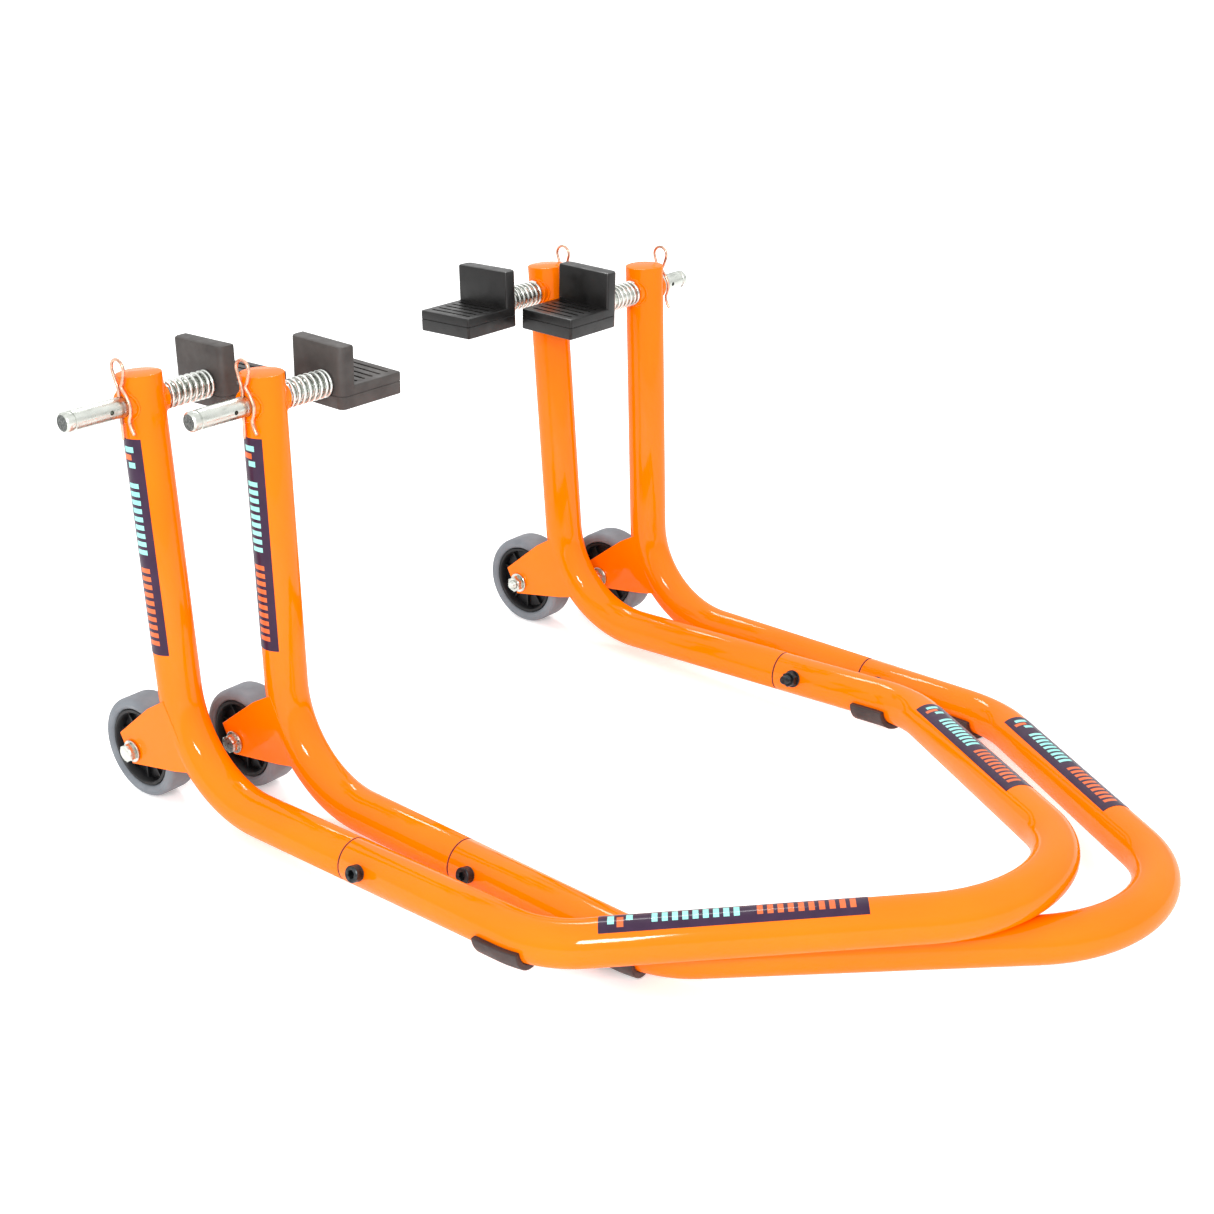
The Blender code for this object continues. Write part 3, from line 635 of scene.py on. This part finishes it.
# ---- wheels ----
def make_wheel(stand, side, sign):
    centre = to_side(AXLE, sign)
    half = TYRE_WIDTH / 2
    tyre = bmesh.new()
    right = arc((half - TYRE_SHOULDER, WHEEL_R - TYRE_SHOULDER), TYRE_SHOULDER, 90, 8, 8)
    left = arc((-half + TYRE_SHOULDER, WHEEL_R - TYRE_SHOULDER), TYRE_SHOULDER, 172, 90, 8)
    bead_step = [(half - 0.0002, HUB_R + 0.0030), (half - 0.0014, HUB_R + 0.0012),
                 (half - 0.0030, HUB_R + 0.0003)]
    turned(tyre, [*left, *right, *bead_step, *[(-x, r) for x, r in reversed(bead_step)]], WHEEL_SIDES, True)
    for out in (-1, 1):     # a raised line round each sidewall
        circle = ring_x(out * (half - 0.0004), HUB_R + 0.0052, WHEEL_SIDES)
        wire(tyre, circle, 0.0005, 6, closed=True)
    bmesh.ops.translate(tyre, verts=tyre.verts, vec=centre)
    attach(finished(stand, f"{side}_tyre_tread", tyre, [TYRE], angle=50), f"{stand}_{side}_wheel",
           f"{stand}_{side}_tyre")
    hub = bmesh.new()
    edge, web, bore = HUB_WIDTH / 2, HUB_WEB, SLEEVE_R + 0.0003
    face = [(edge - 0.0006, HUB_R), (edge, HUB_R - 0.0006), (edge, HUB_R - 0.0026),
            (edge - 0.0010, HUB_R - 0.0036), (web, HUB_R - 0.0050), (web, 0.0140),
            (half - 0.0008, 0.0125), (half - 0.0002, 0.0118), (half - 0.0002, bore)]
    turned(hub, [*[(-x, r) for x, r in reversed(face)], *face], WHEEL_SIDES, True)
    for i in range(RIB_COUNT):     # ribs between the boss and the rim, on both faces
        for out in (-1, 1):
            turn = Matrix.Rotation(2 * math.pi * i / RIB_COUNT, 3, "X")
            low, high = out * (web - 0.001), out * (web + RIB_HEIGHT)
            rings = []
            for radius in (0.0128, HUB_R - 0.0035):
                rings.append([turn @ Vector((x, w, radius)) for x, w in
                              ((low, -0.0011), (high, -0.0008), (high, 0.0008), (low, 0.0011))])
            loft(hub, rings)
    bmesh.ops.translate(hub, verts=hub.verts, vec=centre)
    attach(finished(stand, f"{side}_wheel_hub_spoked", hub, [HUB]), f"{stand}_{side}_wheel",
           f"{stand}_{side}_wheel_hub")
    sleeve = bmesh.new()
    end, soft = TUBE_R - CHEEK_SINK - 0.0003, 0.0004
    turned(sleeve, [(-end, SLEEVE_R - soft), (-end + soft, SLEEVE_R), (end - soft, SLEEVE_R),
                    (end, SLEEVE_R - soft), (end, AXLE_R + 0.0003), (-end, AXLE_R + 0.0003)], closed=True)
    bmesh.ops.translate(sleeve, verts=sleeve.verts, vec=centre)
    attach(finished(stand, f"{side}_axle_sleeve_tube", sleeve, [ZINC]), f"{stand}_frame",
           f"{stand}_{side}_axle_sleeve")


# ---- fasteners: made along +X from the outer face, then turned to their side ----
def washer(mesh, start, radius, bore):
    soft = 0.0003
    high = start + WASHER_HEIGHT
    turned(mesh, [(start, radius - soft), (start + soft, radius), (high - soft, radius),
                  (high, radius - soft), (high, bore), (start, bore)], closed=True)


def threaded(mesh, low, high, radius):
    """A shank whose last stretch shows thread turns."""
    profile = [(low, radius - 0.0010), (low + 0.0008, radius - 0.0003)]
    x = low + 0.0008
    while x + THREAD_PITCH < high:
        profile += [(x + THREAD_PITCH / 2, radius), (x + THREAD_PITCH, radius - 0.0005)]
        x += THREAD_PITCH
    turned(mesh, [*profile, (high, radius)])


def place_fastener(mesh, centre, sign, tilt):
    """Points local +X outwards on its side, tilts its -X end up, and moves it to its hole."""
    outward = Matrix.Identity(3) if sign > 0 else Matrix.Rotation(math.pi, 3, "Z")
    bmesh.ops.rotate(mesh, verts=mesh.verts, cent=(0, 0, 0), matrix=Matrix.Rotation(tilt, 3, "Y") @ outward)
    bmesh.ops.translate(mesh, verts=mesh.verts, vec=centre)


def make_nut(stand, name, centre, sign, tilt, face, size, shank, washer_r, material, cad_node):
    mesh = bmesh.new()
    near = -(face + 0.0003)
    washer(mesh, near - WASHER_HEIGHT, washer_r, shank)
    top = near - WASHER_HEIGHT - shank * NUT_HEIGHT_TO_SHANK_R
    corner = size / math.sqrt(3)
    chamfer = [(near - WASHER_HEIGHT, size * 0.49), (near - WASHER_HEIGHT - 0.0007, corner),
               (top + 0.0009, corner), (top, size * 0.48)]
    loft(mesh, [hex_ring_x(x, size, cap) for x, cap in chamfer] + [ring_x(top, shank + 0.0006),
                                                                   ring_x(top + 0.0006, shank + 0.0001)])
    place_fastener(mesh, centre, sign, tilt)
    attach(finished(stand, name, mesh, [material]), f"{stand}_frame", cad_node)
    return top


def make_axle_fasteners(stand, side, sign):
    centre = to_side(AXLE, sign)
    face = TUBE_R - CHEEK_SINK + CHEEK_THICKNESS
    top = make_nut(stand, f"{side}_axle_nut_hex", centre, sign, 0.0, face, HEX_SIZE, AXLE_R, WASHER_R,
                   ZINC, f"{stand}_{side}_axle_nut")
    mesh = bmesh.new()
    threaded(mesh, top - THREAD_TIP, face, AXLE_R)
    start = face + 0.0003
    washer(mesh, start, WASHER_R, AXLE_R)
    head = start + WASHER_HEIGHT
    corner = HEX_SIZE / math.sqrt(3)
    rings = [hex_ring_x(head, HEX_SIZE, HEX_SIZE * 0.5), hex_ring_x(head + 0.0007, HEX_SIZE, corner),
             hex_ring_x(head + 0.0049, HEX_SIZE, corner),
             hex_ring_x(head + 0.0058, HEX_SIZE, HEX_SIZE * 0.485), ring_x(head + 0.0060, HEX_SIZE * 0.30)]
    loft(mesh, rings)
    place_fastener(mesh, centre, sign, 0.0)
    attach(finished(stand, f"{side}_axle_bolt_hex", mesh, [ZINC]), f"{stand}_frame",
           f"{stand}_{side}_axle_bolt")


def make_coupling(stand, side, sign):
    centre = to_side(arm_point(SPLIT_Y[side] - SCREW_FROM_SPLIT), sign)
    top = make_nut(stand, f"{side}_coupling_nut_hex", centre, sign, SCREW_TILT, TUBE_R, COUPLING_HEX_SIZE,
                   SCREW_R, COUPLING_WASHER_R, OXIDE, f"{stand}_{side}_coupling_nut")
    mesh = bmesh.new()
    threaded(mesh, top - SCREW_TIP, TUBE_R, SCREW_R)
    start = TUBE_R + 0.0003
    end = start + SCREW_HEAD_HEIGHT
    soft = 0.0006
    rings = [ring_x(start, SCREW_HEAD_R - soft), ring_x(start + soft, SCREW_HEAD_R)]
    knurl = []
    for x in (start + 0.0008, end - 0.0018):
        knurl.append([p if i % 2 else Vector((p.x, p.y * 0.955, p.z * 0.955))
                      for i, p in enumerate(ring_x(x, SCREW_HEAD_R))])
    rings += knurl + [ring_x(end - 0.0014, SCREW_HEAD_R), ring_x(end - soft, SCREW_HEAD_R),
                      ring_x(end, SCREW_HEAD_R - soft)]
    socket = SCREW_R * 1.5
    rings += [hex_ring_x(end, socket * 1.12, socket), hex_ring_x(end - 0.0005, socket, socket),
              hex_ring_x(end - 0.0042, socket, socket)]
    loft(mesh, rings)
    place_fastener(mesh, centre, sign, SCREW_TILT)
    attach(finished(stand, f"{side}_coupling_screw_socket", mesh, [OXIDE]), f"{stand}_frame",
           f"{stand}_{side}_coupling_screw")


# ---- rests ----
def make_pad(stand, side, sign):
    """The rubber L: a grooved plate and a wall with round outer corners, moulded in one."""
    low_y, high_y = REST_CENTRE_Y - REST_HALF_WIDTH, REST_CENTRE_Y + REST_HALF_WIDTH
    tip_x = REST_OUTER_X - REST_WALL - REST_PLATE_LENGTH
    inner_x = REST_OUTER_X - REST_WALL
    top = REST_BOTTOM_Z + REST_PLATE_THICKNESS
    seam = REST_BOTTOM_Z + REST_PLATE_THICKNESS * 0.58
    soft, line = 0.0011, 0.0005
    small, large = 0.0022, 0.0062
    base = [(REST_BOTTOM_Z, soft), (REST_BOTTOM_Z + soft * 0.35, soft * 0.3), (REST_BOTTOM_Z + soft, 0.0),
            (seam - line, 0.0), (seam, line), (seam + line, 0.0)]
    plate = bmesh.new()
    slab(plate, (tip_x, low_y), (REST_OUTER_X, high_y), (small, large, large, small),
         base + [(top - soft, 0.0), (top - soft * 0.35, soft * 0.3), (top, soft)], sign)
    pad = finished(stand, f"{side}_rest_pad_rubber", plate, [PAD_RUBBER[side]])
    wall = bmesh.new()
    slab(wall, (inner_x, low_y), (REST_OUTER_X, high_y), (small, large, large, small),
         [(seam + line, 0.0), (REST_TOP_Z - soft * 1.6, 0.0), (REST_TOP_Z - soft * 0.5, soft * 0.45),
          (REST_TOP_Z, soft * 1.5)], sign)
    boolean(stand, pad, wall, "UNION")
    grooves = bmesh.new()
    for i in range(GROOVE_COUNT):
        x = tip_x + GROOVE_FROM_TIP + i * GROOVE_PITCH
        slab(grooves, (x, low_y + GROOVE_MARGIN), (x + GROOVE_WIDTH, high_y - GROOVE_MARGIN), (0.0012,) * 4,
             [(top - GROOVE_DEPTH, 0.0003), (top - 0.0026, 0.0), (top + 0.003, 0.0)], sign)
    boolean(stand, pad, grooves, "DIFFERENCE")
    attach(pad, f"{stand}_{side}_rest", f"{stand}_{side}_rest_pad")


def make_pin(stand, side, sign):
    end = PIN_END_X[side]
    groove = end - 0.0072
    mesh = bmesh.new()
    bright = [(REST_OUTER_X - 0.004, PIN_R), (groove - 0.0007, PIN_R), (groove - 0.0002, PIN_R - 0.0008),
              (groove + 0.0012, PIN_R - 0.0008), (groove + 0.0017, PIN_R), (end - 0.0018, PIN_R),
              (end - 0.0010, PIN_R - 0.0005), (end, PIN_R - 0.0016)]
    turned(mesh, [(x * sign, r) for x, r in bright])
    for face in mesh.faces:
        if all(abs(v.co.x - end * sign) < 1e-6 for v in face.verts):
            face.material_index = 1
    bmesh.ops.translate(mesh, verts=mesh.verts, vec=(0.0, PIN_Y, PIN_Z))
    pin = finished(stand, f"{side}_rest_pin_bar", mesh, [ZINC, SAWN])
    for x, way in ((CLIP_X, "Z"), (SPARE_HOLE_X, "Y")):
        drill = bmesh.new()
        turned(drill, [(-PIN_R * 2, CLIP_WIRE_R + 0.0005), (PIN_R * 2, CLIP_WIRE_R + 0.0005)], 24)
        spin = Matrix.Rotation(math.pi / 2, 3, "Y" if way == "Z" else "Z")
        bmesh.ops.rotate(drill, verts=drill.verts, cent=(0, 0, 0), matrix=spin)
        bmesh.ops.translate(drill, verts=drill.verts, vec=to_side((x, PIN_Y, PIN_Z), sign))
        boolean(stand, pin, drill, "DIFFERENCE")
    attach(pin, f"{stand}_{side}_rest", f"{stand}_{side}_rest_pin")


def make_spring(stand, side, sign):
    """A compression spring with closed ends, from the rest's outer end to the bush."""
    start = REST_OUTER_X + 0.0003 + SPRING_WIRE_R
    end = BUSH_X - BUSH_LENGTH / 2 - 0.0003 - SPRING_WIRE_R
    points = []
    total = SPRING_TURNS + 2 * SPRING_CLOSED_TURNS
    for i in range(int(total * SPRING_STEPS) + 1):
        turns = i / SPRING_STEPS
        middle = min(max(turns - SPRING_CLOSED_TURNS, 0.0), SPRING_TURNS) / SPRING_TURNS
        end_turns = min(turns, SPRING_CLOSED_TURNS)
        end_turns += max(turns - SPRING_CLOSED_TURNS - SPRING_TURNS, 0.0)
        lead = end_turns * SPRING_WIRE_R * 2
        x = start + lead + (end - start - 2 * SPRING_CLOSED_TURNS * SPRING_WIRE_R * 2) * middle
        angle = 2 * math.pi * turns
        points.append(Vector((x * sign, PIN_Y + SPRING_COIL_R * math.cos(angle),
                              PIN_Z + SPRING_COIL_R * math.sin(angle))))
    mesh = bmesh.new()
    wire(mesh, points, SPRING_WIRE_R)
    spring = finished(stand, f"{side}_pin_spring_coil", mesh, [SPRING_ZINC], angle=60)
    attach(spring, f"{stand}_{side}_rest_turn", f"{stand}_{side}_pin_spring")
    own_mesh(spring)


def make_clip(stand, side, sign):
    """The R-clip: a straight leg through the pin, an eye on top, and a wavy leg in front."""
    leg = [(0.0, -0.0250), (0.0, 0.0), (0.0, 0.0140), (0.0022, 0.0200)]
    eye = arc((-0.0018, 0.0300), 0.0071, -20, 200, 10)
    wave = [(-0.0060, 0.0200), (-0.0042, 0.0160), (-0.0090, 0.0100), (-0.0124, 0.0030),
            (-0.0118, -0.0040), (-0.0099, -0.0095), (-0.0115, -0.0150), (-0.0140, -0.0190)]
    knots = [to_side((CLIP_X, PIN_Y + y, PIN_Z + z), sign) for y, z in leg + eye + wave]
    mesh = bmesh.new()
    wire(mesh, smooth_curve(knots, 6), CLIP_WIRE_R)
    attach(finished(stand, f"{side}_r_clip_wire", mesh, [CLIP_ZINC], angle=60), f"{stand}_{side}_clip",
           f"{stand}_{side}_r_clip")


# ---- feet and stickers ----
def make_foot(stand, side, sign):
    steps = 20
    inner_r = TUBE_R + 0.0003
    angles = [-FOOT_HALF_ANGLE + 2 * FOOT_HALF_ANGLE * i / steps for i in range(steps + 1)]
    section = [(FOOT_R * math.sin(a), -FOOT_R * math.cos(a)) for a in angles]
    section += [(inner_r * math.sin(a), -inner_r * math.cos(a)) for a in reversed(angles)]
    corners = [to_side(p, sign) for p in (arm_point(FOOT_START_Y), FRONT_CORNER, NOSE_CORNER)]
    points, ways = bend_path(corners, [FRONT_BEND_R], math.radians(2.5))
    rings = []
    for point, way in zip(points, ways):
        if point.y < FOOT_END_Y:
            break
        across = way.cross(Vector((0, 0, 1))).normalized()
        over = across.cross(way)
        rings.append([point + across * x + over * z for x, z in section])
    mesh = bmesh.new()
    loft(mesh, rings)
    attach(finished(stand, f"{side}_foot_pad_saddle", mesh, [FOOT_RUBBER], bevel=0.0009), f"{stand}_frame",
           f"{stand}_{side}_foot_pad")


def label_bars():
    """Generic print: (start, end, low, high, slot) as shares of the sticker's length and width."""
    bars = [(0.035, 0.060, 0.30, 0.72, 1), (0.070, 0.095, 0.42, 0.84, 2), (0.105, 0.130, 0.30, 0.60, 1)]
    for first, count, slot in ((0.20, 9, 1), (0.59, 10, 2)):
        for i in range(count):
            start = first + i * 0.038
            bars.append((start, start + 0.022, 0.28, 0.74, slot))
    return bars


def make_label(stand, name, start, end, facing):
    """A thin sticker wrapped on a straight tube between two points, centred on the facing side."""
    way = (end - start).normalized()
    facing = (facing - way * facing.dot(way)).normalized()
    beside = way.cross(facing)
    bars = label_bars()
    cuts_u = sorted({0.0, 1.0, *[b[0] for b in bars], *[b[1] for b in bars]})
    cuts_v = sorted({round(i / 24, 4) for i in range(25)} | {b[2] for b in bars} | {b[3] for b in bars})
    mesh = bmesh.new()

    def point(u, v, lift):
        angle = (v - 0.5) * 2 * LABEL_HALF_ANGLE
        return start.lerp(end, u) + (facing * math.cos(angle) + beside * math.sin(angle)) * (TUBE_R + lift)

    layers = [[[mesh.verts.new(point(u, v, lift)) for v in cuts_v] for u in cuts_u]
              for lift in (LABEL_LIFT, -0.0002)]
    top, under = layers
    for i in range(len(cuts_u) - 1):
        for k in range(len(cuts_v) - 1):
            face = mesh.faces.new((top[i][k], top[i + 1][k], top[i + 1][k + 1], top[i][k + 1]))
            u, v = (cuts_u[i] + cuts_u[i + 1]) / 2, (cuts_v[k] + cuts_v[k + 1]) / 2
            face.material_index = next((s for a, b, c, d, s in bars if a < u < b and c < v < d), 0)
            mesh.faces.new((under[i][k + 1], under[i + 1][k + 1], under[i + 1][k], under[i][k]))
    rim = [(i, 0) for i in range(len(cuts_u))] + [(len(cuts_u) - 1, k) for k in range(1, len(cuts_v))]
    rim += [(i, len(cuts_v) - 1) for i in range(len(cuts_u) - 2, -1, -1)]
    rim += [(0, k) for k in range(len(cuts_v) - 2, 0, -1)]
    for (a, b), (c, d) in zip(rim, rim[1:] + rim[:1]):
        mesh.faces.new((top[c][d], top[a][b], under[a][b], under[c][d]))
    attach(finished(stand, name, mesh, [FILM_DARK, FILM_TEAL, FILM_ORANGE]), f"{stand}_frame")


def make_labels(stand, side, sign):
    top, bottom = to_side(UPRIGHT_TOP, sign), to_side(REAR_CORNER, sign)
    ends = [top.lerp(bottom, (top.z - z) / (top.z - bottom.z)) for z in UPRIGHT_LABEL]
    make_label(stand, f"{side}_upright_sticker", ends[0], ends[1], Vector((sign, 0.02, 0.0)))
    corner = to_side(FRONT_CORNER, sign)
    ends = [corner.lerp(NOSE_CORNER, share) for share in DIAGONAL_LABEL]
    make_label(stand, f"{side}_diagonal_sticker", ends[0], ends[1], Vector((0.0, 0.0, 1.0)))


# ---- studio ----
CAMERA_FROM_STAND2 = Vector((-1.07524, -1.11227, 0.79006))
CAMERA_RIGHT = Vector((0.64175, -0.76670, 0.01808))
CAMERA_UP = Vector((0.29714, 0.27030, 0.91578))
CAMERA_FORWARD = Vector((0.70701, 0.58233, -0.40128))
CAMERA_LENS = 56.07
CAMERA_SHIFT = (0.012, -0.009)


def make_floor():
    mesh = bmesh.new()
    bmesh.ops.create_grid(mesh, x_segments=40, y_segments=40, size=16.0)
    data = bpy.data.meshes.new("floor")
    mesh.to_mesh(data)
    mesh.free()
    data.materials.append(floor_paint())
    floor = bpy.data.objects.new("floor", data)
    floor.location.z = cad_low.z - 0.0002
    bpy.context.collection.objects.link(floor)


def make_camera():
    """The camera, as fitted in stand 2's coordinates before it leans."""
    axle = sum((Vector(JOINTS[f"stand2_{side}_wheel_spin"]["pos_m"]) for side, _ in SIDES), Vector()) / 2
    origin = Vector((axle.x, axle.y - AXLE.y, 0.0))
    data = bpy.data.cameras.new("camera")
    data.lens = CAMERA_LENS
    data.sensor_width = 36.0
    data.shift_x, data.shift_y = CAMERA_SHIFT
    data.clip_end = 60.0
    camera = bpy.data.objects.new("camera", data)
    turn = Matrix((CAMERA_RIGHT, CAMERA_UP, -CAMERA_FORWARD)).transposed().to_4x4()
    camera.matrix_world = Matrix.Translation(origin + CAMERA_FROM_STAND2) @ turn
    bpy.context.collection.objects.link(camera)
    bpy.context.scene.camera = camera


def make_light(name, place, target, size, power):
    data = bpy.data.lights.new(name, "AREA")
    data.shape = "RECTANGLE"
    data.size, data.size_y = size
    data.energy = power
    light = bpy.data.objects.new(name, data)
    light.location = place
    light.rotation_euler = (Vector(target) - Vector(place)).to_track_quat("-Z", "Y").to_euler()
    bpy.context.collection.objects.link(light)


def make_studio():
    world = bpy.data.worlds.new("studio")
    bpy.context.scene.world = world
    world.use_nodes = True
    tree = world.node_tree
    place = node(tree, "ShaderNodeTexCoord")
    parts = node(tree, "ShaderNodeSeparateXYZ")
    tree.links.new(place.outputs["Generated"], parts.inputs["Vector"])
    sky = ramp(tree, parts.outputs["Z"], [(0.05, grey(0.64)), (0.6, grey(1.0))])
    background = tree.nodes["Background"]
    tree.links.new(sky, background.inputs["Color"])
    background.inputs["Strength"].default_value = 1.5
    make_light("softbox_left", (-1.85, -0.85, 1.35), (-0.15, -0.05, 0.1), (0.28, 0.50), 27)
    make_light("softbox_back", (1.1, 1.3, 1.9), (0, 0, 0.1), (0.5, 0.3), 10)
    bpy.context.scene.view_settings.view_transform = "Standard"


def main():
    for stand in ("stand1", "stand2"):
        make_front_loop(stand)
        for side, sign in SIDES:
            make_leg(stand, side, sign)
            make_bush(stand, side, sign)
            make_wheel(stand, side, sign)
            make_axle_fasteners(stand, side, sign)
            make_coupling(stand, side, sign)
            make_pad(stand, side, sign)
            make_pin(stand, side, sign)
            make_spring(stand, side, sign)
            make_clip(stand, side, sign)
            make_foot(stand, side, sign)
            make_labels(stand, side, sign)
    make_floor()
    make_camera()
    make_studio()


main()
